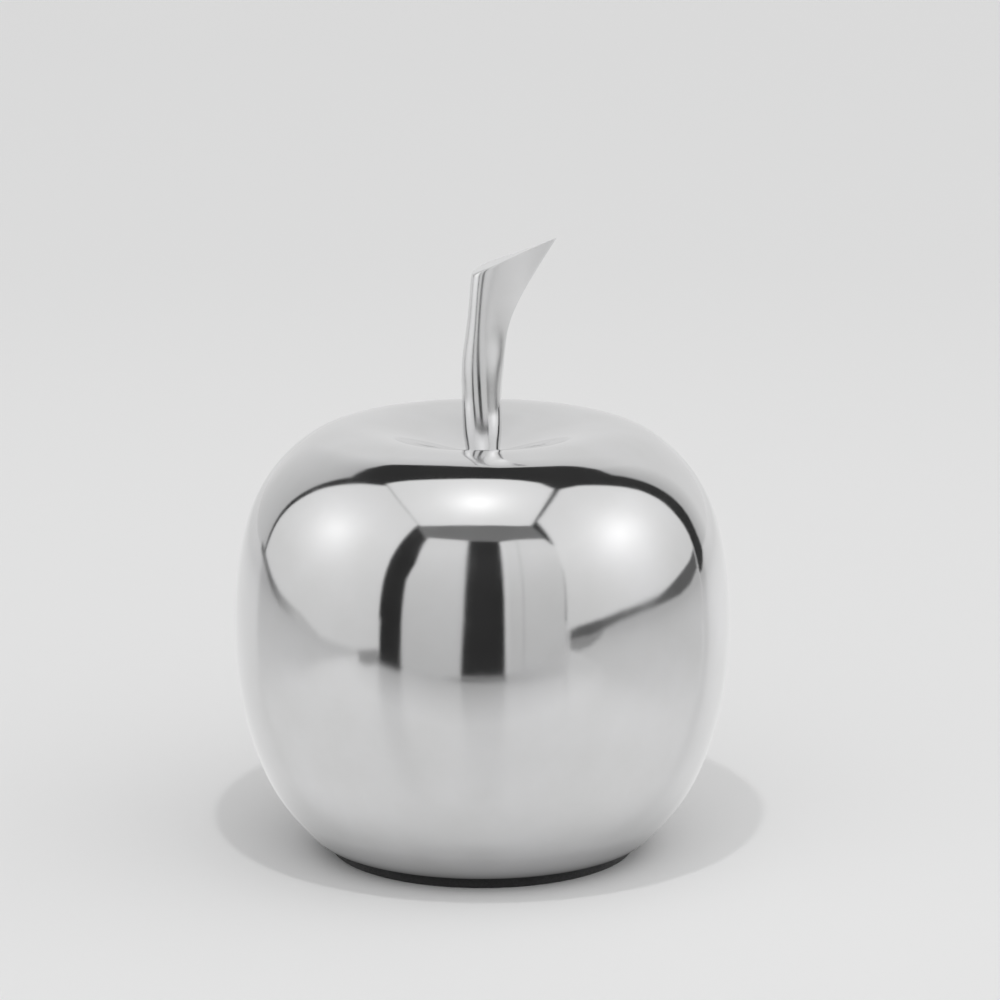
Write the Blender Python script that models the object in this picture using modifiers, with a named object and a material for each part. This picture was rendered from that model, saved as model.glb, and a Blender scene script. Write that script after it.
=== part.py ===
"""Polished cast-aluminium apple ornament.

A hollow turned shell stands on a felt pad. A solid cast stem sits in the dimple on top, and a screw
through the dimple from inside the shell holds it. The origin is on the table under the middle of the
apple, +Z is up and the stem's tip leans towards +X.
"""
import math

import bmesh
import bpy
from mathutils import Vector

MM = 0.001
GAP = 0.3 * MM  # clearance between pieces that touch

# Apple body, measured from the table.
BODY_DIAMETER = 150.0 * MM
CREST_HEIGHT = 131.0 * MM
SEAT_HEIGHT = 123.7 * MM  # at the bottom of the dimple
SEAT_RADIUS = 6.0 * MM
FOOT_RADIUS = 49.0 * MM
WALL = 4.0 * MM
BASE_OPENING_RADIUS = 40.0 * MM  # open base of the casting, closed by the pad
BOSS_RADIUS = 13.0 * MM
BOSS_THICKNESS = 7.0 * MM

# Felt pad.
PAD_RADIUS = 46.4 * MM
PAD_THICKNESS = 3.5 * MM
PAD_EDGE = 0.4 * MM

# Stem: the left and right edges as (x, z) seen from the front, from the foot to the oblique cut.
STEM_FOOT = SEAT_HEIGHT + GAP
STEM_CORNER = (-3.0 * MM, 178.2 * MM)
STEM_TIP = (22.4 * MM, 188.2 * MM)
STEM_FOOT_DEPTH = 9.6 * MM
STEM_NECK_DEPTH = 11.6 * MM
STEM_CUT_DEPTH = 10.4 * MM
STEM_LIP_SETBACK = 1.2 * MM
STEM_EDGE_ROUNDING = 0.1  # share of the depth that stays at the thin edge

# M5 x 20 hexagon screw and its washer.
SCREW_RADIUS = 2.5 * MM
SCREW_LENGTH = 20.0 * MM
SCREW_HEAD_ACROSS_FLATS = 8.0 * MM
SCREW_HEAD_HEIGHT = 3.5 * MM
SCREW_CHAMFER = 0.4 * MM
CLEARANCE_HOLE_RADIUS = 2.75 * MM
WASHER_RADIUS = 5.0 * MM
WASHER_THICKNESS = 1.0 * MM
WASHER_HOLE_RADIUS = 2.65 * MM

# Smoothness.
BODY_SEGMENTS = 48
OUTSIDE_STEPS = 36
INSIDE_STEPS = 16
STEM_RINGS = 22
STEM_SIDES = 28

FOOT_HEIGHT = PAD_THICKNESS + GAP
WIDEST = BODY_DIAMETER / 2
BOSS_BOTTOM = SEAT_HEIGHT - BOSS_THICKNESS

# Outside of the apple as (radius, height), from the foot up to the seat. A cubic B-spline follows
# these points, so the shape runs slightly inside its corners.
BODY_OUTLINE = [
    (FOOT_RADIUS, FOOT_HEIGHT),
    (FOOT_RADIUS + 2.0 * MM, FOOT_HEIGHT),
    (54.9 * MM, 8.2 * MM),
    (66.5 * MM, 21.3 * MM),
    (WIDEST, 50.6 * MM),
    (WIDEST + 0.4 * MM, 78.0 * MM),
    (72.2 * MM, 101.9 * MM),
    (64.5 * MM, 116.9 * MM),
    (54.8 * MM, 125.8 * MM),
    (48.6 * MM, CREST_HEIGHT - 1.7 * MM),
    (39.8 * MM, CREST_HEIGHT + 0.3 * MM),
    (31.0 * MM, CREST_HEIGHT - 0.3 * MM),
    (21.5 * MM, CREST_HEIGHT - 3.0 * MM),
    (12.5 * MM, SEAT_HEIGHT + 1.6 * MM),
    (8.0 * MM, SEAT_HEIGHT + 0.3 * MM),
    (SEAT_RADIUS, SEAT_HEIGHT),
]

STEM_LEFT_EDGE = [
    (-4.9 * MM, STEM_FOOT),
    (-5.4 * MM, 126.0 * MM),
    (-5.9 * MM, 130.5 * MM),
    (-6.0 * MM, 139.5 * MM),
    (-6.4 * MM, 149.5 * MM),
    (-4.6 * MM, 160.5 * MM),
    (-3.7 * MM, 170.5 * MM),
    (-3.3 * MM, 176.0 * MM),
    STEM_CORNER,
]
STEM_RIGHT_EDGE = [
    (5.5 * MM, STEM_FOOT),
    (5.7 * MM, 126.0 * MM),
    (6.2 * MM, 130.5 * MM),
    (5.6 * MM, 139.5 * MM),
    (6.8 * MM, 151.0 * MM),
    (7.3 * MM, 161.0 * MM),
    (11.6 * MM, 171.0 * MM),
    (17.8 * MM, 181.0 * MM),
    STEM_TIP,
]


def smooth_curve(points, steps):
    """Points along a clamped cubic B-spline, from the first control point to the last."""
    degree = 3
    spans = len(points) - degree
    knots = [0.0] * degree + [float(i) for i in range(spans + 1)] + [float(spans)] * degree
    curve = []
    for step in range(steps + 1):
        at = spans * step / steps
        span = min(int(at), spans - 1) + degree
        near = [Vector(points[span - degree + i]) for i in range(degree + 1)]
        for level in range(1, degree + 1):
            for i in range(degree, level - 1, -1):
                low = knots[span - degree + i]
                high = knots[span + i + 1 - level]
                near[i] = near[i - 1].lerp(near[i], (at - low) / (high - low))
        curve.append(near[degree])
    return curve


def offset_inwards(curve, distance):
    """The curve moved to its left by the distance: into the wall, for an outline that runs upwards."""
    moved = []
    for i, point in enumerate(curve):
        along = curve[min(i + 1, len(curve) - 1)] - curve[max(i - 1, 0)]
        along.normalize()
        moved.append(point + distance * Vector((-along.y, along.x)))
    return moved


def new_collection(name):
    collection = bpy.data.collections.new(name)
    bpy.context.scene.collection.children.link(collection)
    return collection


def new_object(name, mesh, collection, material=None):
    obj = bpy.data.objects.new(name, mesh)
    collection.objects.link(obj)
    if material:
        mesh.materials.append(material)
    return obj


def mesh_from_bmesh(name, bm):
    mesh = bpy.data.meshes.new(name)
    bm.to_mesh(mesh)
    bm.free()
    return mesh


def new_material(name, colour, metallic, roughness):
    material = bpy.data.materials.new(name)
    material.use_nodes = True
    shader = material.node_tree.nodes["Principled BSDF"]
    shader.inputs["Base Color"].default_value = (*colour, 1.0)
    shader.inputs["Metallic"].default_value = metallic
    shader.inputs["Roughness"].default_value = roughness
    return material


def turned(name, section, segments, collection, material):
    """A closed (radius, height) section turned about Z. It runs down its outer side."""
    bm = bmesh.new()
    verts = [bm.verts.new((radius, 0.0, height)) for radius, height in section]
    for i, vert in enumerate(verts):
        bm.edges.new((vert, verts[(i + 1) % len(verts)]))
    obj = new_object(name, mesh_from_bmesh(name, bm), collection, material)
    screw = obj.modifiers.new("Turn", "SCREW")
    screw.angle = math.tau
    screw.steps = segments
    screw.render_steps = segments
    screw.use_merge_vertices = True
    screw.merge_threshold = 0.02 * MM
    screw.use_smooth_shade = True
    return obj


def cylinder(name, radius, bottom, height, sides, collection, material=None):
    bm = bmesh.new()
    bmesh.ops.create_cone(
        bm, cap_ends=True, segments=sides, radius1=radius, radius2=radius, depth=height
    )
    bmesh.ops.translate(bm, verts=bm.verts, vec=(0.0, 0.0, bottom + height / 2))
    return new_object(name, mesh_from_bmesh(name, bm), collection, material)


def as_cutter(obj):
    obj.hide_render = True
    obj.display_type = "WIRE"
    return obj


def add_boolean(obj, other, operation):
    boolean = obj.modifiers.new(operation.title(), "BOOLEAN")
    boolean.operation = operation
    boolean.solver = "EXACT"
    boolean.object = other


def shade_smooth(obj, sharp_above_degrees):
    obj.data.shade_smooth()
    obj.data.set_sharp_from_angle(angle=math.radians(sharp_above_degrees))


def add_apple_shell(collection, material):
    """Hollow casting: apple outside, even wall, screw boss under the dimple, open base."""
    outside = smooth_curve(BODY_OUTLINE, OUTSIDE_STEPS)
    floor = FOOT_HEIGHT + WALL
    inside = [
        point
        for point in offset_inwards(smooth_curve(BODY_OUTLINE, INSIDE_STEPS), WALL)
        if point.y > floor + GAP and point.x > BOSS_RADIUS + GAP
    ]
    section = [(CLEARANCE_HOLE_RADIUS, SEAT_HEIGHT)]
    section += [tuple(point) for point in reversed(outside)]
    section += [(BASE_OPENING_RADIUS, FOOT_HEIGHT), (BASE_OPENING_RADIUS, floor)]
    section += [(inside[0].x - WALL / 2, floor)]
    section += [tuple(point) for point in inside]
    section += [(BOSS_RADIUS, inside[-1].y), (BOSS_RADIUS, BOSS_BOTTOM)]
    section += [(CLEARANCE_HOLE_RADIUS, BOSS_BOTTOM)]
    shell = turned("apple_shell", section, BODY_SEGMENTS, collection, material)
    shade_smooth(shell, 40.0)
    return shell


def stem_outline(left, right, depth, taper, setback):
    """One section of the stem, a ring from its left edge round the front to its right edge and back.

    The taper is 0.5 for an ellipse. A larger one moves the thickest place to the left and draws the
    right side out to a thin edge, which the setback moves towards the back.
    """
    left, right = Vector(left), Vector(right)
    thickest = 0.5 / (0.5 + taper)
    largest = math.sqrt(thickest) * (1.0 - thickest) ** taper
    ring = []
    for side in range(STEM_SIDES):
        angle = math.tau * side / STEM_SIDES
        across = (1.0 - math.cos(angle)) / 2
        swell = math.sqrt(across) * (1.0 - across) ** taper / largest
        swell += STEM_EDGE_ROUNDING * abs(math.sin(angle))
        middle = left.lerp(right, across)
        back = setback * across - math.copysign(swell * depth / 2, math.sin(angle))
        ring.append((middle.x, back, middle.y))
    return ring


def add_stem(collection, cutters, material):
    """Solid casting: round at the foot, flared and drawn out to a pointed lip at the oblique cut."""
    lefts = smooth_curve(STEM_LEFT_EDGE, STEM_RINGS)
    rights = smooth_curve(STEM_RIGHT_EDGE, STEM_RINGS)
    bm = bmesh.new()
    rings = []
    for i, (left, right) in enumerate(zip(lefts, rights)):
        rise = i / STEM_RINGS
        foot_share = max(0.0, 1.0 - rise / 0.2) ** 2
        flare = rise**3
        depth = STEM_NECK_DEPTH
        depth += (STEM_FOOT_DEPTH - STEM_NECK_DEPTH) * foot_share
        depth += (STEM_CUT_DEPTH - STEM_NECK_DEPTH) * flare
        taper = 0.5 + 2.5 * flare
        outline = stem_outline(left, right, depth, taper, STEM_LIP_SETBACK * flare)
        rings.append([bm.verts.new(point) for point in outline])
    for lower, upper in zip(rings, rings[1:]):
        for side in range(STEM_SIDES):
            after = (side + 1) % STEM_SIDES
            bm.faces.new((lower[side], lower[after], upper[after], upper[side]))
    bm.faces.new(list(reversed(rings[0])))
    bm.faces.new(rings[-1])
    bmesh.ops.recalc_face_normals(bm, faces=bm.faces)
    stem = new_object("stem", mesh_from_bmesh("stem", bm), collection, material)
    hole_depth = 13.0 * MM
    hole = as_cutter(
        cylinder(
            "stem_thread_hole",
            CLEARANCE_HOLE_RADIUS,
            STEM_FOOT - 2 * MM,
            hole_depth + 2 * MM,
            24,
            cutters,
        )
    )
    add_boolean(stem, hole, "DIFFERENCE")
    shade_smooth(stem, 40.0)
    return stem


def add_stem_screw(collection, cutters, material):
    """Hexagon head inside the shell, shank up through the boss into the stem."""
    head_top = BOSS_BOTTOM - GAP - WASHER_THICKNESS - GAP
    head_radius = SCREW_HEAD_ACROSS_FLATS / 2 / math.cos(math.pi / 6)
    head_bottom = head_top - SCREW_HEAD_HEIGHT
    screw = cylinder("stem_screw", head_radius, head_bottom, SCREW_HEAD_HEIGHT, 6, collection, material)
    bevel = screw.modifiers.new("Chamfer", "BEVEL")
    bevel.width = SCREW_CHAMFER
    bevel.segments = 1
    bevel.limit_method = "ANGLE"
    bevel.angle_limit = math.radians(80.0)
    overlap = SCREW_HEAD_HEIGHT / 2
    shank = as_cutter(
        cylinder(
            "stem_screw_shank",
            SCREW_RADIUS,
            head_top - overlap,
            SCREW_LENGTH + overlap,
            24,
            cutters,
        )
    )
    add_boolean(screw, shank, "UNION")
    shade_smooth(screw, 40.0)
    return screw


def add_screw_washer(collection, material):
    top = BOSS_BOTTOM - GAP
    bottom = top - WASHER_THICKNESS
    section = [
        (WASHER_HOLE_RADIUS, top),
        (WASHER_RADIUS, top),
        (WASHER_RADIUS, bottom),
        (WASHER_HOLE_RADIUS, bottom),
    ]
    washer = turned("screw_washer", section, 32, collection, material)
    shade_smooth(washer, 40.0)
    return washer


def add_felt_pad(collection, material):
    """Round pad glued under the foot. It also closes the base of the casting."""
    pad = cylinder("felt_pad", PAD_RADIUS, 0.0, PAD_THICKNESS, BODY_SEGMENTS, collection, material)
    bevel = pad.modifiers.new("Soft edge", "BEVEL")
    bevel.width = PAD_EDGE
    bevel.segments = 2
    bevel.limit_method = "ANGLE"
    bevel.angle_limit = math.radians(40.0)
    shade_smooth(pad, 40.0)
    return pad


def main():
    for old in list(bpy.data.objects):
        bpy.data.objects.remove(old, do_unlink=True)
    parts = new_collection("apple_ornament")
    cutters = new_collection("cutters")
    polished_aluminium = new_material("polished cast aluminium", (0.87, 0.87, 0.88), 1.0, 0.06)
    zinc_plated_steel = new_material("zinc-plated steel", (0.62, 0.63, 0.65), 1.0, 0.35)
    black_felt = new_material("black felt", (0.012, 0.012, 0.013), 0.0, 0.95)
    add_apple_shell(parts, polished_aluminium)
    add_stem(parts, cutters, polished_aluminium)
    add_stem_screw(parts, cutters, zinc_plated_steel)
    add_screw_washer(parts, zinc_plated_steel)
    add_felt_pad(parts, black_felt)


main()
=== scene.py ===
import math

import bmesh
import bpy
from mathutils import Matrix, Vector, noise


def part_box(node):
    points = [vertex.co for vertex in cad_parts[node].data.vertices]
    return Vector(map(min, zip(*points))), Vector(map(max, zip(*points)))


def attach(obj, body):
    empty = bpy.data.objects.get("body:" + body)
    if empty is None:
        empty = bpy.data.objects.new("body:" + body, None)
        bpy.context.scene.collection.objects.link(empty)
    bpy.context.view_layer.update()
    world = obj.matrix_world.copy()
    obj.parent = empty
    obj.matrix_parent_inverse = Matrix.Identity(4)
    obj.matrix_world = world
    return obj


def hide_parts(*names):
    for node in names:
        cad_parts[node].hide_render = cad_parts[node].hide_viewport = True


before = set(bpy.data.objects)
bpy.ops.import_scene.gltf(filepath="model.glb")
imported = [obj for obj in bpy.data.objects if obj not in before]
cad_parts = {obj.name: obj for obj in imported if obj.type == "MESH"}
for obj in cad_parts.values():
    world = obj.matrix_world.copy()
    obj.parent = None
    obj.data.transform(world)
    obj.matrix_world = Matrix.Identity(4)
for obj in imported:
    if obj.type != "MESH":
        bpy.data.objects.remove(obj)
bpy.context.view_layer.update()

MM = 0.001
GAP = 0.3 * MM  # clearance between pieces that touch

# Sizes in metres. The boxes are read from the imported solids, and the other sizes repeat the CAD's.
shell_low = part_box("apple_shell")[0]
stem_low, stem_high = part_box("stem")
pad_low, pad_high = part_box("felt_pad")
WIDEST = 75.0 * MM
CREST_HEIGHT = 131.0 * MM
SEAT_HEIGHT = stem_low.z - GAP
SEAT_RADIUS = 6.0 * MM
FOOT_RADIUS = 49.0 * MM
FOOT_HEIGHT = shell_low.z
WALL = 4.0 * MM
BASE_OPENING_RADIUS = 40.0 * MM
BOSS_RADIUS = 13.0 * MM
BOSS_BOTTOM = SEAT_HEIGHT - 7.0 * MM
SCREW_HOLE_RADIUS = 2.75 * MM

BODY_OUTLINE = [
    (FOOT_RADIUS, FOOT_HEIGHT),
    (FOOT_RADIUS + 2.0 * MM, FOOT_HEIGHT),
    (54.9 * MM, 8.2 * MM),
    (66.5 * MM, 21.3 * MM),
    (WIDEST, 50.6 * MM),
    (WIDEST + 0.4 * MM, 78.0 * MM),
    (72.2 * MM, 101.9 * MM),
    (64.5 * MM, 116.9 * MM),
    (54.8 * MM, 125.8 * MM),
    (48.6 * MM, CREST_HEIGHT - 1.7 * MM),
    (39.8 * MM, CREST_HEIGHT + 0.3 * MM),
    (31.0 * MM, CREST_HEIGHT - 0.3 * MM),
    (21.5 * MM, CREST_HEIGHT - 3.0 * MM),
    (12.5 * MM, SEAT_HEIGHT + 1.6 * MM),
    (8.0 * MM, SEAT_HEIGHT + 0.3 * MM),
    (SEAT_RADIUS, SEAT_HEIGHT),
]
BODY_STEPS = 150
BODY_SEGMENTS = 200
INSIDE_STEPS = 60

# Stem: its left and right edges as (x, z) seen from the front, from the foot to the oblique cut.
STEM_FOOT = stem_low.z
STEM_CORNER = (-3.0 * MM, 178.2 * MM)
STEM_TIP = (22.4 * MM, stem_high.z)
STEM_LEFT_EDGE = [
    (-4.9 * MM, STEM_FOOT),
    (-5.4 * MM, 126.0 * MM),
    (-5.9 * MM, 130.5 * MM),
    (-6.0 * MM, 139.5 * MM),
    (-6.4 * MM, 149.5 * MM),
    (-4.6 * MM, 160.5 * MM),
    (-3.7 * MM, 170.5 * MM),
    (-3.3 * MM, 176.0 * MM),
    STEM_CORNER,
]
STEM_RIGHT_EDGE = [
    (5.5 * MM, STEM_FOOT),
    (5.7 * MM, 126.0 * MM),
    (6.2 * MM, 130.5 * MM),
    (5.6 * MM, 139.5 * MM),
    (6.8 * MM, 151.0 * MM),
    (7.3 * MM, 161.0 * MM),
    (11.6 * MM, 171.0 * MM),
    (17.8 * MM, 181.0 * MM),
    STEM_TIP,
]
STEM_FOOT_DEPTH = 9.6 * MM
STEM_NECK_DEPTH = 11.6 * MM
STEM_CUT_DEPTH = 10.4 * MM
STEM_LIP_SETBACK = 1.2 * MM
STEM_EDGE_ROUNDING = 0.1  # share of the depth that stays at the thin edge
STEM_ROUND_TAPER = 0.5  # the section is an ellipse
STEM_CUT_TAPER = 3.0  # the section is a drop with its thin edge on the right
STEM_FOOT_SHARE = 0.2  # share of the height over which the foot is slimmer
STEM_FLATNESS = 0.84  # below 1, the front and back are flatter than an ellipse's
STEM_RINGS = 110
STEM_SIDES = 96
CUT_RIM = 0.5 * MM  # buffed rounding round the oblique cut
CUT_RIM_STEPS = 6
CUT_CORNER = 1.6 * MM  # softer rounding of its low left corner
CUT_RINGS_ROUNDED = 4  # rings below the cut that the rim's rounding takes the place of
RIM_DROP = 0.6  # how far the rounding reaches down the side, as a share of its width
TIP_ROUNDING = 0.2  # how much of the rim's rounding the pointed lip gets

PAD_EDGE = 0.5 * MM  # rounding of the pad's cut edge
PAD_EDGE_STEPS = 5
PAD_RINGS = 40
PAD_SEGMENTS = 240
PAD_RAGGED_PITCH = 1.5 * MM
PAD_RAGGED_SHARE = 0.002

SHARP_ABOVE = math.radians(40.0)
MERGE_DISTANCE = 0.001 * MM
SATIN_ROUGHNESS = 0.265  # the coarsest buffing


def smooth_curve(points, steps):
    """Points along a clamped cubic B-spline, from the first control point to the last."""
    degree = 3
    spans = len(points) - degree
    knots = [0.0] * degree + [float(i) for i in range(spans + 1)] + [float(spans)] * degree
    curve = []
    for step in range(steps + 1):
        at = spans * step / steps
        span = min(int(at), spans - 1) + degree
        near = [Vector(points[span - degree + i]) for i in range(degree + 1)]
        for level in range(1, degree + 1):
            for i in range(degree, level - 1, -1):
                low = knots[span - degree + i]
                high = knots[span + i + 1 - level]
                near[i] = near[i - 1].lerp(near[i], (at - low) / (high - low))
        curve.append(near[degree])
    return curve


def offset_inwards(curve, distance):
    """The curve moved to its left by the distance: into the wall, for an outline that runs upwards."""
    moved = []
    for i, point in enumerate(curve):
        along = curve[min(i + 1, len(curve) - 1)] - curve[max(i - 1, 0)]
        along.normalize()
        moved.append(point + distance * Vector((-along.y, along.x)))
    return moved


def linear(hex_colour):
    """An sRGB hex colour as linear RGBA."""
    channels = [int(hex_colour[i : i + 2], 16) / 255 for i in (1, 3, 5)]
    return (*[c / 12.92 if c <= 0.04045 else ((c + 0.055) / 1.055) ** 2.4 for c in channels], 1.0)


def grey(level):
    """The linear brightness of an sRGB grey from 0 to 255."""
    return linear("#" + f"{level:02x}" * 3)[0]


def add_node(tree, kind, settings=None, **inputs):
    """Adds a node, sets its properties, then sets or links its inputs by socket name."""
    node = tree.nodes.new(kind)
    for name, value in (settings or {}).items():
        setattr(node, name, value)
    for name, value in inputs.items():
        socket = node.inputs[int(name[1:])] if name[1:].isdigit() else node.inputs[name.replace("_", " ")]
        if isinstance(value, bpy.types.NodeSocket):
            tree.links.new(value, socket)
        else:
            socket.default_value = value
    return node


def new_material(name):
    material = bpy.data.materials.new(name)
    material.use_nodes = True
    return material, material.node_tree, material.node_tree.nodes["Principled BSDF"]


def new_piece(name, bm, material):
    mesh = bpy.data.meshes.new(name)
    bmesh.ops.recalc_face_normals(bm, faces=bm.faces)
    bm.to_mesh(mesh)
    bm.free()
    mesh.materials.append(material)
    mesh.shade_smooth()
    mesh.set_sharp_from_angle(angle=SHARP_ABOVE)
    piece = bpy.data.objects.new(name, mesh)
    bpy.context.scene.collection.objects.link(piece)
    return piece


def mirror_polished_aluminium(name, colours, haze, wave_height, line_pitch, line_axis_scale, satin=None):
    """Cast aluminium, ground and buffed by hand to a mirror.

    It reflects nearly neutral grey. Buffing leaves broad shallow waves, which bend reflections a
    little, a patchy haze and hair-fine lines that soften their edges. The satin, where there is one,
    is the heights between which the buffing gets coarser and how much hazier it ends.
    """
    patch_size, wave_length, line_depth = 22 * MM, 30 * MM, 0.0012 * MM
    material, tree, shader = new_material(name)
    place = add_node(tree, "ShaderNodeTexCoord").outputs["Object"]
    patches = add_node(tree, "ShaderNodeTexNoise", Vector=place, Scale=1 / patch_size, Detail=4.0)
    rough = add_node(
        tree, "ShaderNodeMapRange", Value=patches.outputs["Fac"], From_Min=0.35, From_Max=0.7,
        To_Min=haze * 0.75, To_Max=haze * 1.5,
    )
    roughness = rough.outputs["Result"]
    if satin:
        start, end, most = satin
        height = add_node(tree, "ShaderNodeSeparateXYZ", Vector=place).outputs["Z"]
        coarser = add_node(
            tree, "ShaderNodeMapRange", Value=height, From_Min=start, From_Max=end, To_Min=1.0, To_Max=most
        ).outputs["Result"]
        roughness = add_node(
            tree, "ShaderNodeMath", {"operation": "MULTIPLY"}, _0=roughness, _1=coarser
        ).outputs[0]
        roughness = add_node(
            tree, "ShaderNodeMath", {"operation": "MINIMUM"}, _0=roughness, _1=SATIN_ROUGHNESS
        ).outputs[0]
    tone = add_node(tree, "ShaderNodeValToRGB", Fac=patches.outputs["Fac"])
    tone.color_ramp.elements[0].position = 0.3
    tone.color_ramp.elements[0].color = linear(colours[0])
    tone.color_ramp.elements[1].position = 0.75
    tone.color_ramp.elements[1].color = linear(colours[1])
    waves = add_node(tree, "ShaderNodeTexNoise", Vector=place, Scale=1 / wave_length, Detail=1.0)
    stretched = add_node(tree, "ShaderNodeMapping", Vector=place, Scale=line_axis_scale)
    lines = add_node(
        tree, "ShaderNodeTexNoise", Vector=stretched.outputs["Vector"], Scale=1 / line_pitch, Detail=2.0
    )
    wave_bump = add_node(
        tree, "ShaderNodeBump", Height=waves.outputs["Fac"], Strength=1.0, Distance=wave_height
    )
    line_bump = add_node(
        tree, "ShaderNodeBump", Height=lines.outputs["Fac"], Strength=1.0, Distance=line_depth,
        Normal=wave_bump.outputs["Normal"],
    )
    shader.inputs["Metallic"].default_value = 1.0
    tree.links.new(tone.outputs["Color"], shader.inputs["Base Color"])
    tree.links.new(roughness, shader.inputs["Roughness"])
    tree.links.new(line_bump.outputs["Normal"], shader.inputs["Normal"])
    return material


def black_wool_felt():
    """Pressed wool felt: matt black, with short tangled fibres that catch a little light."""
    fibre_pitch, fibre_height = 0.5 * MM, 0.3 * MM
    material, tree, shader = new_material("black pressed wool felt")
    place = add_node(tree, "ShaderNodeTexCoord").outputs["Object"]
    fibres = add_node(
        tree, "ShaderNodeTexNoise", Vector=place, Scale=1 / fibre_pitch, Detail=6.0, Distortion=2.5
    )
    tone = add_node(tree, "ShaderNodeValToRGB", Fac=fibres.outputs["Fac"])
    tone.color_ramp.elements[0].position = 0.35
    tone.color_ramp.elements[0].color = linear("#0E0E0F")
    tone.color_ramp.elements[1].position = 0.72
    tone.color_ramp.elements[1].color = linear("#2A2A2B")
    tree.links.new(tone.outputs["Color"], shader.inputs["Base Color"])
    shader.inputs["Roughness"].default_value = 0.95
    shader.inputs["Sheen Weight"].default_value = 0.25
    shader.inputs["Sheen Roughness"].default_value = 0.5
    bump = add_node(
        tree, "ShaderNodeBump", Height=fibres.outputs["Fac"], Strength=0.8, Distance=fibre_height
    )
    tree.links.new(bump.outputs["Normal"], shader.inputs["Normal"])
    return material


def zinc_plated_steel():
    """Cold-headed steel with bright passivated zinc: a soft grey shine with a faint crystal mottle."""
    crystal_size = 0.8 * MM
    material, tree, shader = new_material("zinc-plated steel")
    place = add_node(tree, "ShaderNodeTexCoord").outputs["Object"]
    mottle = add_node(tree, "ShaderNodeTexVoronoi", Vector=place, Scale=1 / crystal_size)
    rough = add_node(
        tree, "ShaderNodeMapRange", Value=mottle.outputs["Distance"], To_Min=0.28, To_Max=0.42
    )
    tone = add_node(tree, "ShaderNodeValToRGB", Fac=mottle.outputs["Distance"])
    tone.color_ramp.elements[0].color = linear("#C9CCD1")
    tone.color_ramp.elements[1].color = linear("#B9BCC0")
    tree.links.new(tone.outputs["Color"], shader.inputs["Base Color"])
    tree.links.new(rough.outputs["Result"], shader.inputs["Roughness"])
    shader.inputs["Metallic"].default_value = 1.0
    return material


def add_apple_shell(material):
    """The hollow casting, with a fine enough surface for clean reflections."""
    outside = smooth_curve(BODY_OUTLINE, BODY_STEPS)
    floor = FOOT_HEIGHT + WALL
    inside = [
        point
        for point in offset_inwards(smooth_curve(BODY_OUTLINE, INSIDE_STEPS), WALL)
        if point.y > floor + GAP and point.x > BOSS_RADIUS + GAP
    ]
    section = [(SCREW_HOLE_RADIUS, SEAT_HEIGHT)]
    section += [tuple(point) for point in reversed(outside)]
    section += [(BASE_OPENING_RADIUS, FOOT_HEIGHT), (BASE_OPENING_RADIUS, floor)]
    section += [(inside[0].x - WALL / 2, floor)]
    section += [tuple(point) for point in inside]
    section += [(BOSS_RADIUS, inside[-1].y), (BOSS_RADIUS, BOSS_BOTTOM)]
    section += [(SCREW_HOLE_RADIUS, BOSS_BOTTOM)]
    bm = bmesh.new()
    verts = [bm.verts.new((radius, 0.0, height)) for radius, height in section]
    edges = [bm.edges.new((vert, verts[(i + 1) % len(verts)])) for i, vert in enumerate(verts)]
    bmesh.ops.spin(
        bm, geom=verts + edges, cent=(0, 0, 0), axis=(0, 0, 1), angle=math.tau, steps=BODY_SEGMENTS,
        use_merge=True,
    )
    bmesh.ops.remove_doubles(bm, verts=bm.verts, dist=MERGE_DISTANCE)
    shell = new_piece("apple_body", bm, material)
    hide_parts("apple_shell")
    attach(shell, "root")


def stem_outline(left, right, depth, taper, setback):
    """One section of the stem, a ring from its left edge round the front to its right edge and back.

    The taper is 0.5 for an ellipse. A larger one moves the thickest place to the left and draws the
    right side out to a thin edge, which the setback moves towards the back.
    """
    left, right = Vector(left), Vector(right)
    thickest = 0.5 / (0.5 + taper)
    largest = math.sqrt(thickest) * (1.0 - thickest) ** taper
    ring = []
    for side in range(STEM_SIDES):
        angle = math.tau * side / STEM_SIDES
        across = (1.0 - math.cos(angle)) / 2
        swell = (math.sqrt(across) * (1.0 - across) ** taper / largest) ** STEM_FLATNESS
        swell += STEM_EDGE_ROUNDING * abs(math.sin(angle))
        middle = left.lerp(right, across)
        back = setback * across - math.copysign(swell * depth / 2, math.sin(angle))
        ring.append((middle.x, back, middle.y))
    return ring


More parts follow.
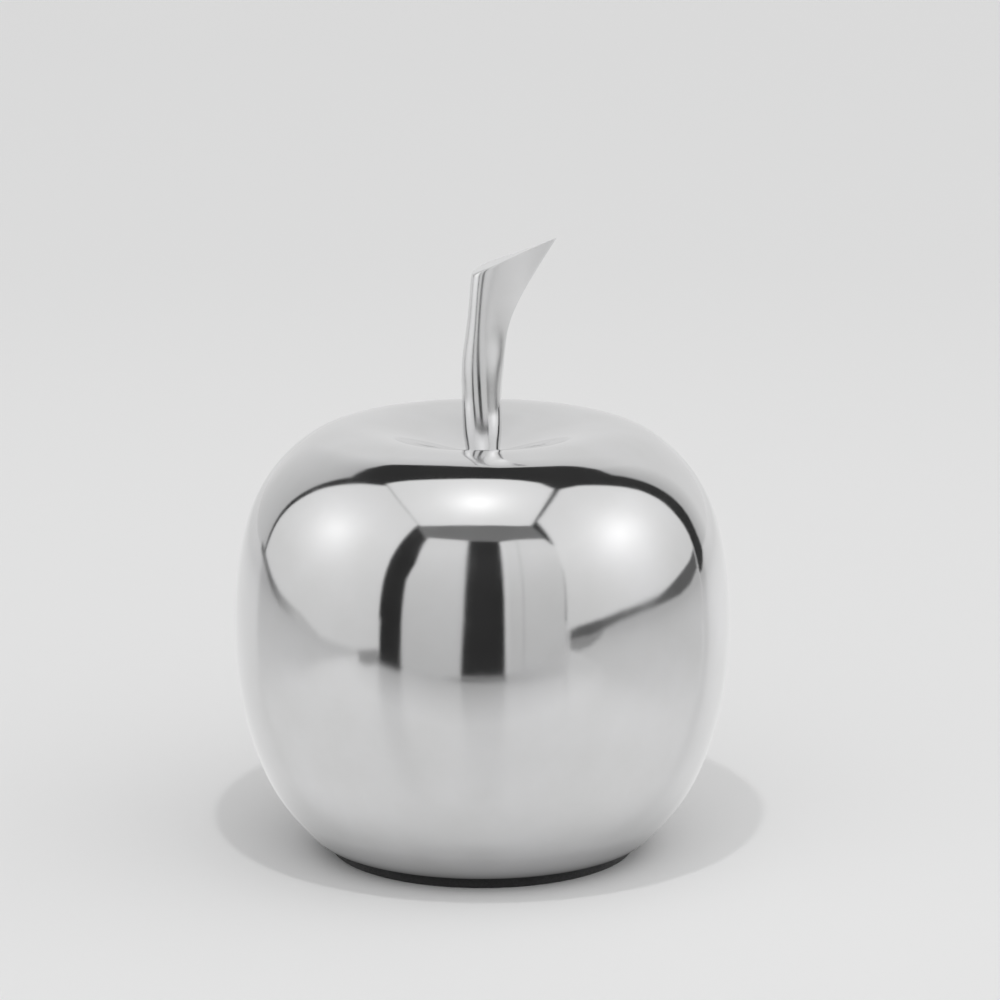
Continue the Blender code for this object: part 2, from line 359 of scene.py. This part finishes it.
def add_stem(material):
    """The cast stem, with soft buffed edges round the cut and the foot."""
    lefts = smooth_curve(STEM_LEFT_EDGE, STEM_RINGS)
    rights = smooth_curve(STEM_RIGHT_EDGE, STEM_RINGS)
    bm = bmesh.new()
    rings = []
    for i in range(STEM_RINGS - CUT_RINGS_ROUNDED + 1):
        left, right = lefts[i], rights[i]
        rise = i / STEM_RINGS
        foot_share = max(0.0, 1.0 - rise / STEM_FOOT_SHARE) ** 2
        flare = rise**3
        depth = STEM_NECK_DEPTH
        depth += (STEM_FOOT_DEPTH - STEM_NECK_DEPTH) * foot_share
        depth += (STEM_CUT_DEPTH - STEM_NECK_DEPTH) * flare
        taper = STEM_ROUND_TAPER + (STEM_CUT_TAPER - STEM_ROUND_TAPER) * flare
        outline = stem_outline(left, right, depth, taper, STEM_LIP_SETBACK * flare)
        rings.append([bm.verts.new(point) for point in outline])
    across = (rights[-1] - lefts[-1]).normalized()
    up_left = (lefts[-1] - lefts[-2]).normalized()
    up_right = (rights[-1] - rights[-2]).normalized()
    for step in range(CUT_RIM_STEPS + 1):
        angle = math.pi / 2 * step / CUT_RIM_STEPS
        inset, drop = 1.0 - math.cos(angle), 1.0 - math.sin(angle)
        left = lefts[-1] + across * CUT_CORNER * inset - up_left * CUT_CORNER * RIM_DROP * drop
        right = rights[-1] - across * CUT_RIM * TIP_ROUNDING * inset - up_right * CUT_RIM * RIM_DROP * drop
        depth = STEM_CUT_DEPTH - 2 * CUT_RIM * inset
        outline = stem_outline(left, right, depth, STEM_CUT_TAPER, STEM_LIP_SETBACK)
        rings.append([bm.verts.new(point) for point in outline])
    for lower, upper in zip(rings, rings[1:]):
        for side in range(STEM_SIDES):
            after = (side + 1) % STEM_SIDES
            bm.faces.new((lower[side], lower[after], upper[after], upper[side]))
    bm.faces.new(list(reversed(rings[0])))
    bm.faces.new(rings[-1])
    stem = new_piece("cast_stem", bm, material)
    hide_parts("stem")
    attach(stem, "root")


def add_felt_pad(material):
    """The pad with a soft, slightly uneven cut edge and a fibrous face."""
    radius, edge = pad_high.x, PAD_EDGE
    quarter = [math.pi / 2 * k / PAD_EDGE_STEPS for k in range(PAD_EDGE_STEPS + 1)]
    profile = [(radius * k / PAD_RINGS, pad_low.z) for k in range(PAD_RINGS)]
    profile += [
        (radius - edge + edge * math.sin(a), pad_low.z + edge - edge * math.cos(a)) for a in quarter
    ]
    profile += [
        (radius - edge + edge * math.cos(a), pad_high.z - edge + edge * math.sin(a)) for a in quarter
    ]
    profile += [(radius * k / PAD_RINGS, pad_high.z) for k in reversed(range(PAD_RINGS))]
    bm = bmesh.new()
    verts = [bm.verts.new((r, 0.0, z)) for r, z in profile]
    edges = [bm.edges.new(pair) for pair in zip(verts, verts[1:])]
    bmesh.ops.spin(
        bm, geom=verts + edges, cent=(0, 0, 0), axis=(0, 0, 1), angle=math.tau, steps=PAD_SEGMENTS,
        use_merge=True,
    )
    bmesh.ops.remove_doubles(bm, verts=bm.verts, dist=MERGE_DISTANCE)
    for vert in bm.verts:
        if pad_low.z + edge / 2 < vert.co.z < pad_high.z - edge / 2:
            ragged = noise.noise(vert.co * (1 / PAD_RAGGED_PITCH))
            vert.co.xy *= 1.0 - PAD_RAGGED_SHARE * (1.0 + ragged)
    pad = new_piece("felt_base_pad", bm, material)
    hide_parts("felt_pad")
    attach(pad, "root")


# The studio: a small tent of lit cards that only the polished metal sees. Cards are placed in mm.
TOP_CARD = 600
SIDE_CARDS = 420
FRONT_CARDS = -385
FRONT_CLOTH = -392
ON_TABLE = 1
FLOOR_RADIUS = 7.0
DOME_RADIUS = 12.0


def glow_material(name, base, fades=(), spot=None, peak=0.0, reach=0.1):
    """A lit card: even light, fades along the room's axes and a hot spot where its lamp stands.

    Each fade is an axis, the metres where it starts and ends, and the share of light at each.
    """
    material = bpy.data.materials.new(name)
    material.use_nodes = True
    tree = material.node_tree
    tree.nodes.remove(tree.nodes["Principled BSDF"])
    place = add_node(tree, "ShaderNodeNewGeometry").outputs["Position"]
    split = add_node(tree, "ShaderNodeSeparateXYZ", Vector=place)
    level = base
    for axis, start, end, share_at_start, share_at_end in fades:
        share = add_node(
            tree, "ShaderNodeMapRange", Value=split.outputs[axis], From_Min=start, From_Max=end,
            To_Min=share_at_start, To_Max=share_at_end,
        ).outputs["Result"]
        level = add_node(tree, "ShaderNodeMath", {"operation": "MULTIPLY"}, _0=share, _1=level).outputs[0]
    if spot:
        away = add_node(
            tree, "ShaderNodeVectorMath", {"operation": "DISTANCE"}, _0=place, _1=spot
        ).outputs["Value"]
        near = add_node(tree, "ShaderNodeMath", {"operation": "DIVIDE"}, _0=away, _1=reach).outputs[0]
        square = add_node(tree, "ShaderNodeMath", {"operation": "POWER"}, _0=near, _1=2.0).outputs[0]
        wide = add_node(tree, "ShaderNodeMath", {"operation": "ADD"}, _0=square, _1=1.0).outputs[0]
        glow = add_node(tree, "ShaderNodeMath", {"operation": "DIVIDE"}, _0=peak, _1=wide).outputs[0]
        level = add_node(tree, "ShaderNodeMath", {"operation": "ADD"}, _0=level, _1=glow).outputs[0]
    lamp = add_node(tree, "ShaderNodeEmission", Strength=level)
    tree.links.new(lamp.outputs["Emission"], tree.nodes["Material Output"].inputs["Surface"])
    return material


def only_in_reflections(obj):
    obj.visible_camera = False
    obj.visible_diffuse = False
    obj.visible_shadow = False
    obj.visible_transmission = False
    obj.visible_volume_scatter = False


def add_card(name, corners, material):
    """A flat card through its corners, in mm."""
    mesh = bpy.data.meshes.new(name)
    mesh.from_pydata([Vector(corner) * MM for corner in corners], [], [range(len(corners))])
    mesh.materials.append(material)
    card = bpy.data.objects.new(name, mesh)
    bpy.context.scene.collection.objects.link(card)
    only_in_reflections(card)


def at_height(z, points):
    return [(x, y, z) for x, y in points]


def at_side(x, points):
    return [(x, y, z) for y, z in points]


def at_front(y, points):
    return [(x, y, z) for x, z in points]


def add_top_card():
    """The card overhead, with a dull rim along its left side."""
    light = glow_material(
        "top card light", grey(229), spot=(-13 * MM, -170 * MM, TOP_CARD * MM), peak=0.6, reach=0.085
    )
    front = [(-278, -347), (-187, -364), (-9, -376), (146, -372), (220, -358)]
    back = [
        (215, -22), (158, 9), (98, 24), (44, 35), (-30, 40), (-106, 40), (-163, 45), (-228, 56), (-278, 64),
    ]
    add_card("tent_top", at_height(TOP_CARD, front + back), light)
    rim = glow_material("top card rim", grey(176))
    left_rim = [(-284, -346), (-278, -347), (-278, 70), (-284, 70)]
    add_card("tent_top_rim", at_height(TOP_CARD - 1, left_rim), rim)


# Lower edges of the side cards and of the dark or faint line under each, as (y, z) in mm. The front
# of the studio is at negative y.
LEFT_CARD_FOOT = [
    (-421, 0), (-317, 8), (-238, 16), (-126, 27), (-35, 51), (74, 61), (134, 72), (207, 90), (228, 96),
]
LEFT_LINE_FOOT = [(-317, 0), (-238, 1), (-127, 11), (-37, 35), (68, 42), (116, 50), (207, 75), (290, 90)]
RIGHT_CARD_FOOT = [
    (-561, 50), (-530, 53), (-467, 64), (-387, 70), (-302, 75), (-228, 80), (-137, 81), (-46, 82), (65, 96),
    (144, 104), (187, 117),
]
RIGHT_LINE_FOOT = [
    (-533, 25), (-471, 33), (-391, 38), (-305, 51), (-230, 61), (-139, 66), (-27, 65), (50, 62), (118, 64),
    (188, 76),
]


def add_side_cards():
    """The two side cards, their edges and what lies at their feet."""
    left = glow_material(
        "left card light", grey(229), [("Z", 0.0, 0.45, 0.82, 1.0)],
        (-SIDE_CARDS * MM, -71 * MM, 321 * MM), 0.42, 0.115,
    )
    left_back = [(224, 200), (213, 348), (208, 429), (189, 536), (161, 657), (113, 798), (80, 950)]
    left_front = [(-475, 950), (-449, 628), (-438, 490), (-425, 348), (-418, 222), (-416, 138), (-417, 40)]
    add_card("tent_left", at_side(-SIDE_CARDS, LEFT_CARD_FOOT + left_back + left_front), left)
    right = glow_material(
        "right card light", grey(231), [("Z", 0.0, 0.45, 0.78, 1.0)],
        (SIDE_CARDS * MM, -112 * MM, 330 * MM), 0.5, 0.125,
    )
    right_back = [
        (194, 148), (186, 243), (189, 331), (183, 439), (161, 548), (134, 675), (101, 832), (60, 925),
        (21, 1018),
    ]
    right_front = [(-528, 1018), (-538, 260)]
    add_card("tent_right", at_side(SIDE_CARDS, RIGHT_CARD_FOOT + right_back + right_front), right)
    edge = glow_material("card edge", grey(98))
    add_card("tent_right_edge", at_side(SIDE_CARDS, RIGHT_LINE_FOOT + RIGHT_CARD_FOOT[:0:-1]), edge)
    soft_edge = glow_material("soft card edge", grey(196), [("Y", -0.02, 0.14, 1.0, 0.25)])
    left_line_top = [(290, 106)] + LEFT_CARD_FOOT[:0:-1]
    add_card("tent_left_edge", at_side(-SIDE_CARDS, LEFT_LINE_FOOT + left_line_top), soft_edge)
    dark_cloth = glow_material("dark cloth behind the right card", grey(58))
    cloth_end = [(196, 125), (274, 125), (280, 86), (258, 71), (229, 60), (198, 62)]
    add_card("tent_dark_right", at_side(SIDE_CARDS + 4, cloth_end), dark_cloth)
    bright_edge = glow_material("bright card edge", grey(214))
    card_end = [
        (187, 150), (193, 150), (194, 90), (200, 64), (206, 43), (204, 23), (196, 2), (190, 2), (198, 23),
        (200, 43), (195, 63), (187, 88),
    ]
    add_card("tent_right_end", at_side(SIDE_CARDS - 2, card_end), bright_edge)
    dull_edge = glow_material("dull card edge", grey(150))
    right_foot = [
        (-533, 0), (-471, 1), (-391, 15), (-330, 34), (-305, 49), (-391, 37), (-471, 32), (-533, 24),
    ]
    add_card("tent_right_foot", at_side(SIDE_CARDS, right_foot), dull_edge)
    left_foot = [(-417, 1), (-305, 1), (-290, 5), (-300, 9), (-417, 9)]
    add_card("tent_left_foot", at_side(1 - SIDE_CARDS, left_foot), dull_edge)
    table_foot = [(-419, -417), (-325, -341), (-330, -288), (-362, -266), (-405, -300), (-419, -305)]
    add_card("tent_left_table_foot", at_height(ON_TABLE, table_foot), dull_edge)


def add_front_cards():
    """Two lit strips with dark gaps beside them, hanging from a grey beam."""
    fade = [("Z", 0.0, 0.35, 0.7, 1.0)]
    strip = glow_material("front strip light", grey(226), fade)
    left_strip = [
        (-262, -12), (-60, 5), (-52, 98), (-49, 205), (-48, 425), (-142, 452), (-222, 478), (-229, 411),
        (-232, 290), (-258, 207), (-262, 88),
    ]
    add_card("tent_front_left", at_front(FRONT_CARDS, left_strip), strip)
    right_strip = [(63, 8), (268, 20), (288, 200), (297, 400), (260, 472), (125, 440), (63, 417)]
    add_card("tent_front_right", at_front(FRONT_CARDS, right_strip), strip)
    bright = glow_material("front strip edge light", grey(233), fade)
    bright_side = [(63, 8), (77, 9), (81, 420), (63, 415)]
    add_card("tent_front_bright", at_front(FRONT_CARDS + 1, bright_side), bright)
    seam = glow_material("front strip seam", grey(192), fade)
    seam_line = [(116, 14), (119, 14), (131, 435), (127, 435)]
    add_card("tent_front_seam", at_front(FRONT_CARDS + 1, seam_line), seam)
    beam = glow_material("front beam", grey(122))
    beam_outline = [
        (-236, 478), (-142, 452), (-55, 425), (65, 417), (125, 440), (268, 474), (236, 641), (151, 621),
        (-9, 614), (-197, 631), (-330, 660),
    ]
    add_card("tent_front_beam", at_front(FRONT_CARDS - 1, beam_outline), beam)
    dark = glow_material("dark cloth", grey(46))
    left_cloth = [(-385, 0), (-255, 0), (-200, 500), (-350, 660)]
    add_card("tent_dark_left", at_front(FRONT_CLOTH, left_cloth), dark)
    # Dark patches on the table at the feet of the left cloth and the slit: painted shade.
    painted_shade_left = [(-338, -335), (-243, -350), (-254, FRONT_CLOTH), (-390, FRONT_CLOTH)]
    add_card("tent_painted_shade_left", at_height(ON_TABLE, painted_shade_left), dark)
    painted_shade_slit = [(-60, FRONT_CLOTH), (68, FRONT_CLOTH), (66, -376), (-58, -376)]
    add_card("tent_painted_shade_slit", at_height(ON_TABLE, painted_shade_slit), dark)
    slit = [(-60, 5), (68, 5), (68, 430), (-60, 430)]
    add_card("tent_dark_slit", at_front(FRONT_CLOTH, slit), dark)


def add_tent():
    add_top_card()
    add_side_cards()
    add_front_cards()
    # The back wall's glow is painted light, dimmer towards its top and both its ends.
    back_fades = [("Z", 4.6, 7.6, 1.0, 0.84), ("X", -4.7, -1.8, 0.72, 1.0), ("X", 3.7, 4.8, 1.0, 0.6)]
    add_back_sweep(glow_material("back sweep", BACK_LEVEL, back_fades))
    add_dome(glow_material("dark studio", grey(52)))


BACK_RADIUS = 6.0
BACK_LEVEL = 0.745
BACK_STEPS = 8  # faces between two of the points below
# Top of the back wall: direction from the front round to the right and height above the crest, in degrees.
BACK_TOPS = [
    (129.2, 46.0), (132.0, 48.1), (143.7, 51.0), (158.8, 51.2), (167.7, 53.3), (175.5, 54.6), (180.5, 52.7),
    (187.8, 50.1), (201.6, 48.7), (213.9, 50.1), (225.4, 48.7), (233.0, 46.5),
]


def add_back_sweep(material):
    """The far back wall of the studio, standing on the floor."""
    bm = bmesh.new()
    tops = [Vector(BACK_TOPS[0])]
    for start, end in zip(BACK_TOPS, BACK_TOPS[1:]):
        tops += [Vector(start).lerp(Vector(end), k / BACK_STEPS) for k in range(1, BACK_STEPS + 1)]
    low, high = [], []
    for top in tops:
        turn, rise = math.radians(top.x), math.radians(top.y)
        x, y = BACK_RADIUS * math.sin(turn), -BACK_RADIUS * math.cos(turn)
        low.append(bm.verts.new((x, y, 0.0)))
        high.append(bm.verts.new((x, y, CREST_HEIGHT + BACK_RADIUS * math.tan(rise))))
    for k in range(len(low) - 1):
        bm.faces.new((low[k], low[k + 1], high[k + 1], high[k]))
    mesh = bpy.data.meshes.new("tent_back")
    bm.to_mesh(mesh)
    bm.free()
    mesh.materials.append(material)
    sweep = bpy.data.objects.new("tent_back", mesh)
    bpy.context.scene.collection.objects.link(sweep)
    only_in_reflections(sweep)


def add_dome(material):
    """The dark studio beyond the cards."""
    bm = bmesh.new()
    bmesh.ops.create_uvsphere(bm, u_segments=32, v_segments=16, radius=DOME_RADIUS)
    mesh = bpy.data.meshes.new("dark_studio")
    bm.to_mesh(mesh)
    bm.free()
    mesh.materials.append(material)
    dome = bpy.data.objects.new("dark_studio", mesh)
    bpy.context.scene.collection.objects.link(dome)
    only_in_reflections(dome)


def disc_mesh(name):
    mesh = bpy.data.meshes.new(name)
    bm = bmesh.new()
    bmesh.ops.create_circle(bm, cap_ends=True, segments=96, radius=FLOOR_RADIUS)
    bm.to_mesh(mesh)
    bm.free()
    return mesh


def add_floor():
    """A plain pale satin floor. It lets the eye through from below."""
    mesh = disc_mesh("floor")
    material, tree, shader = new_material("pale satin floor")
    shader.inputs["Base Color"].default_value = linear("#E6E6E6")
    shader.inputs["Roughness"].default_value = 0.38
    shader.inputs["Specular IOR Level"].default_value = 0.6
    side = add_node(tree, "ShaderNodeNewGeometry").outputs["Backfacing"]
    clear = add_node(tree, "ShaderNodeBsdfTransparent").outputs["BSDF"]
    both = add_node(tree, "ShaderNodeMixShader", _0=side, _1=shader.outputs["BSDF"], _2=clear)
    tree.links.new(both.outputs["Shader"], tree.nodes["Material Output"].inputs["Surface"])
    mesh.materials.append(material)
    floor = bpy.data.objects.new("floor", mesh)
    bpy.context.scene.collection.objects.link(floor)
    floor.visible_glossy = False


# Painted light of the mirrored table, by metres from the middle of the apple's foot: near the foot it is
# darker as painted contact shade.
TABLE_LEVELS = [
    (0.046, 0.02), (0.052, 0.24), (0.058, 0.39), (0.068, 0.52), (0.08, 0.61), (0.1, 0.68), (0.35, 0.6),
    (0.6, 0.57), (1.0, 0.42),
]
# Painted shade on the mirrored table, deepest in front of the front cards.
TABLE_SHADE_MIDDLE = (-42 * MM, FRONT_CLOTH * MM, 0.0)  # x is narrowed before it is measured
TABLE_SHADE_NARROWED = 0.35
TABLE_SHADE_REACH = 200 * MM
TABLE_SHADE_DARKEST = 0.56


def add_table_in_tent():
    """The mirrored table's glow: painted light, with painted contact shade round the apple's foot and
    painted shade before the front cards.
    """
    mesh = disc_mesh("tent_table")
    material, tree, shader = new_material("lit table in the tent")
    shader.inputs["Base Color"].default_value = linear("#000000")
    shader.inputs["Roughness"].default_value = 0.3
    shader.inputs["Specular IOR Level"].default_value = 0.8
    place = add_node(tree, "ShaderNodeNewGeometry").outputs["Position"]
    away = add_node(tree, "ShaderNodeVectorMath", {"operation": "LENGTH"}, _0=place).outputs["Value"]
    painted_light_by_distance = add_node(tree, "ShaderNodeValToRGB", Fac=away)
    ramp = painted_light_by_distance.color_ramp
    ramp.interpolation = "B_SPLINE"
    while len(ramp.elements) < len(TABLE_LEVELS):
        ramp.elements.new(0.5)
    for element, (metres, level) in zip(ramp.elements, TABLE_LEVELS):
        element.position = metres
        element.color = (level, level, level, 1.0)
    side = add_node(tree, "ShaderNodeSeparateXYZ", Vector=place).outputs["X"]
    # Painted light: the mirrored table is a little brighter to the right.
    brighter_right = add_node(
        tree, "ShaderNodeMapRange", Value=side, From_Min=-0.45, From_Max=0.45, To_Min=0.98, To_Max=1.06
    ).outputs["Result"]
    narrowed = add_node(
        tree, "ShaderNodeVectorMath", {"operation": "MULTIPLY"}, _0=place,
        _1=(TABLE_SHADE_NARROWED, 1.0, 1.0),
    ).outputs["Vector"]
    from_front_cards = add_node(
        tree, "ShaderNodeVectorMath", {"operation": "DISTANCE"}, _0=narrowed, _1=TABLE_SHADE_MIDDLE
    ).outputs["Value"]
    shade = add_node(
        tree, "ShaderNodeMapRange", Value=from_front_cards, From_Max=TABLE_SHADE_REACH,
        To_Min=TABLE_SHADE_DARKEST, To_Max=1.0,
    ).outputs["Result"]
    strength = add_node(
        tree, "ShaderNodeMath", {"operation": "MULTIPLY"}, _0=brighter_right, _1=shade
    ).outputs[0]
    tree.links.new(painted_light_by_distance.outputs["Color"], shader.inputs["Emission Color"])
    tree.links.new(strength, shader.inputs["Emission Strength"])
    mesh.materials.append(material)
    table = bpy.data.objects.new("tent_table", mesh)
    bpy.context.scene.collection.objects.link(table)
    only_in_reflections(table)


LAMP_STRENGTH = 9.0
LAMP_RADIUS = 12 * MM
LAMP_PLACE = (-14 * MM, -230 * MM, 620 * MM)


def add_lamp():
    """A small lamp over the tent, made stronger with distance so that the floor is evenly lit."""
    light = bpy.data.lights.new("overhead_lamp", "POINT")
    light.shadow_soft_size = LAMP_RADIUS
    light.energy = 1.0
    light.use_nodes = True
    tree = light.node_tree
    emission = tree.nodes["Emission"]
    falloff = add_node(tree, "ShaderNodeLightFalloff", Strength=LAMP_STRENGTH)
    path = add_node(tree, "ShaderNodeLightPath")
    even = add_node(
        tree, "ShaderNodeMath", {"operation": "MULTIPLY"}, _0=falloff.outputs["Constant"],
        _1=path.outputs["Ray Length"],
    )
    tree.links.new(even.outputs[0], emission.inputs["Strength"])
    lamp = bpy.data.objects.new("overhead_lamp", light)
    lamp.location = LAMP_PLACE
    lamp.visible_glossy = False
    lamp.visible_camera = False
    bpy.context.scene.collection.objects.link(lamp)


WORLD_LEVEL = 0.84
WORLD_LIGHT_FROM = (0.5, -0.87, 0.0)
WORLD_DIMMEST = 0.15
WORLD_BRIGHTEST = 1.85


def add_world():
    """Soft light from all round, most of it from the front right, so the apple's foot isn't dark there."""
    world = bpy.data.worlds.new("soft studio")
    world.use_nodes = True
    tree = world.node_tree
    sky = tree.nodes["Background"]
    direction = add_node(tree, "ShaderNodeTexCoord").outputs["Generated"]
    facing = add_node(
        tree, "ShaderNodeVectorMath", {"operation": "DOT_PRODUCT"}, _0=direction, _1=WORLD_LIGHT_FROM
    ).outputs["Value"]
    level = add_node(
        tree, "ShaderNodeMapRange", Value=facing, From_Min=-1.0, From_Max=1.0,
        To_Min=WORLD_LEVEL * WORLD_DIMMEST, To_Max=WORLD_LEVEL * WORLD_BRIGHTEST,
    )
    sky.inputs["Color"].default_value = (1.0, 1.0, 1.0, 1.0)
    tree.links.new(level.outputs["Result"], sky.inputs["Strength"])
    bpy.context.scene.world = world


def add_camera():
    """The photograph's view: a long lens 1.5 m away, 13 degrees above the middle of the apple."""
    sensor = 36.0
    image = 1000.0
    focal_pixels = 4965.0
    distance, elevation = 1500 * MM, math.radians(13.0)
    aim = Vector((0.0, 0.0, 108.1 * MM))
    apple_centre_column = 482.0
    camera = bpy.data.cameras.new("camera")
    camera.sensor_width = sensor
    camera.lens = focal_pixels / image * sensor
    camera.clip_start, camera.clip_end = 0.05, 50.0
    eye = aim + distance * Vector((0.0, -math.cos(elevation), math.sin(elevation)))
    aside = (image / 2 - apple_centre_column) / focal_pixels * distance
    look = aim + Vector((aside, 0.0, 0.0)) - eye
    holder = bpy.data.objects.new("camera", camera)
    holder.location = eye
    holder.rotation_mode = "QUATERNION"
    holder.rotation_quaternion = look.to_track_quat("-Z", "Y")
    bpy.context.scene.collection.objects.link(holder)
    bpy.context.scene.camera = holder


body_finish = mirror_polished_aluminium(
    "mirror-polished cast aluminium", ("#E2E2E2", "#E9E9EA"), 0.07, 0.02 * MM, 0.35 * MM, (1, 1, 9)
)
stem_finish = mirror_polished_aluminium(
    "hand-buffed cast aluminium", ("#ECECEC", "#F5F5F6"), 0.15, 0.03 * MM, 0.3 * MM, (6, 6, 1),
    satin=(135 * MM, 170 * MM, 2.3),
)
add_apple_shell(body_finish)
add_stem(stem_finish)
add_felt_pad(black_wool_felt())
zinc = zinc_plated_steel()
for node in ("stem_screw", "screw_washer"):
    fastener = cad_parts[node]
    fastener.data.materials.clear()
    fastener.data.materials.append(zinc)

add_tent()
add_floor()
add_table_in_tent()
add_lamp()
add_world()
add_camera()
bpy.context.scene.view_settings.view_transform = "Standard"
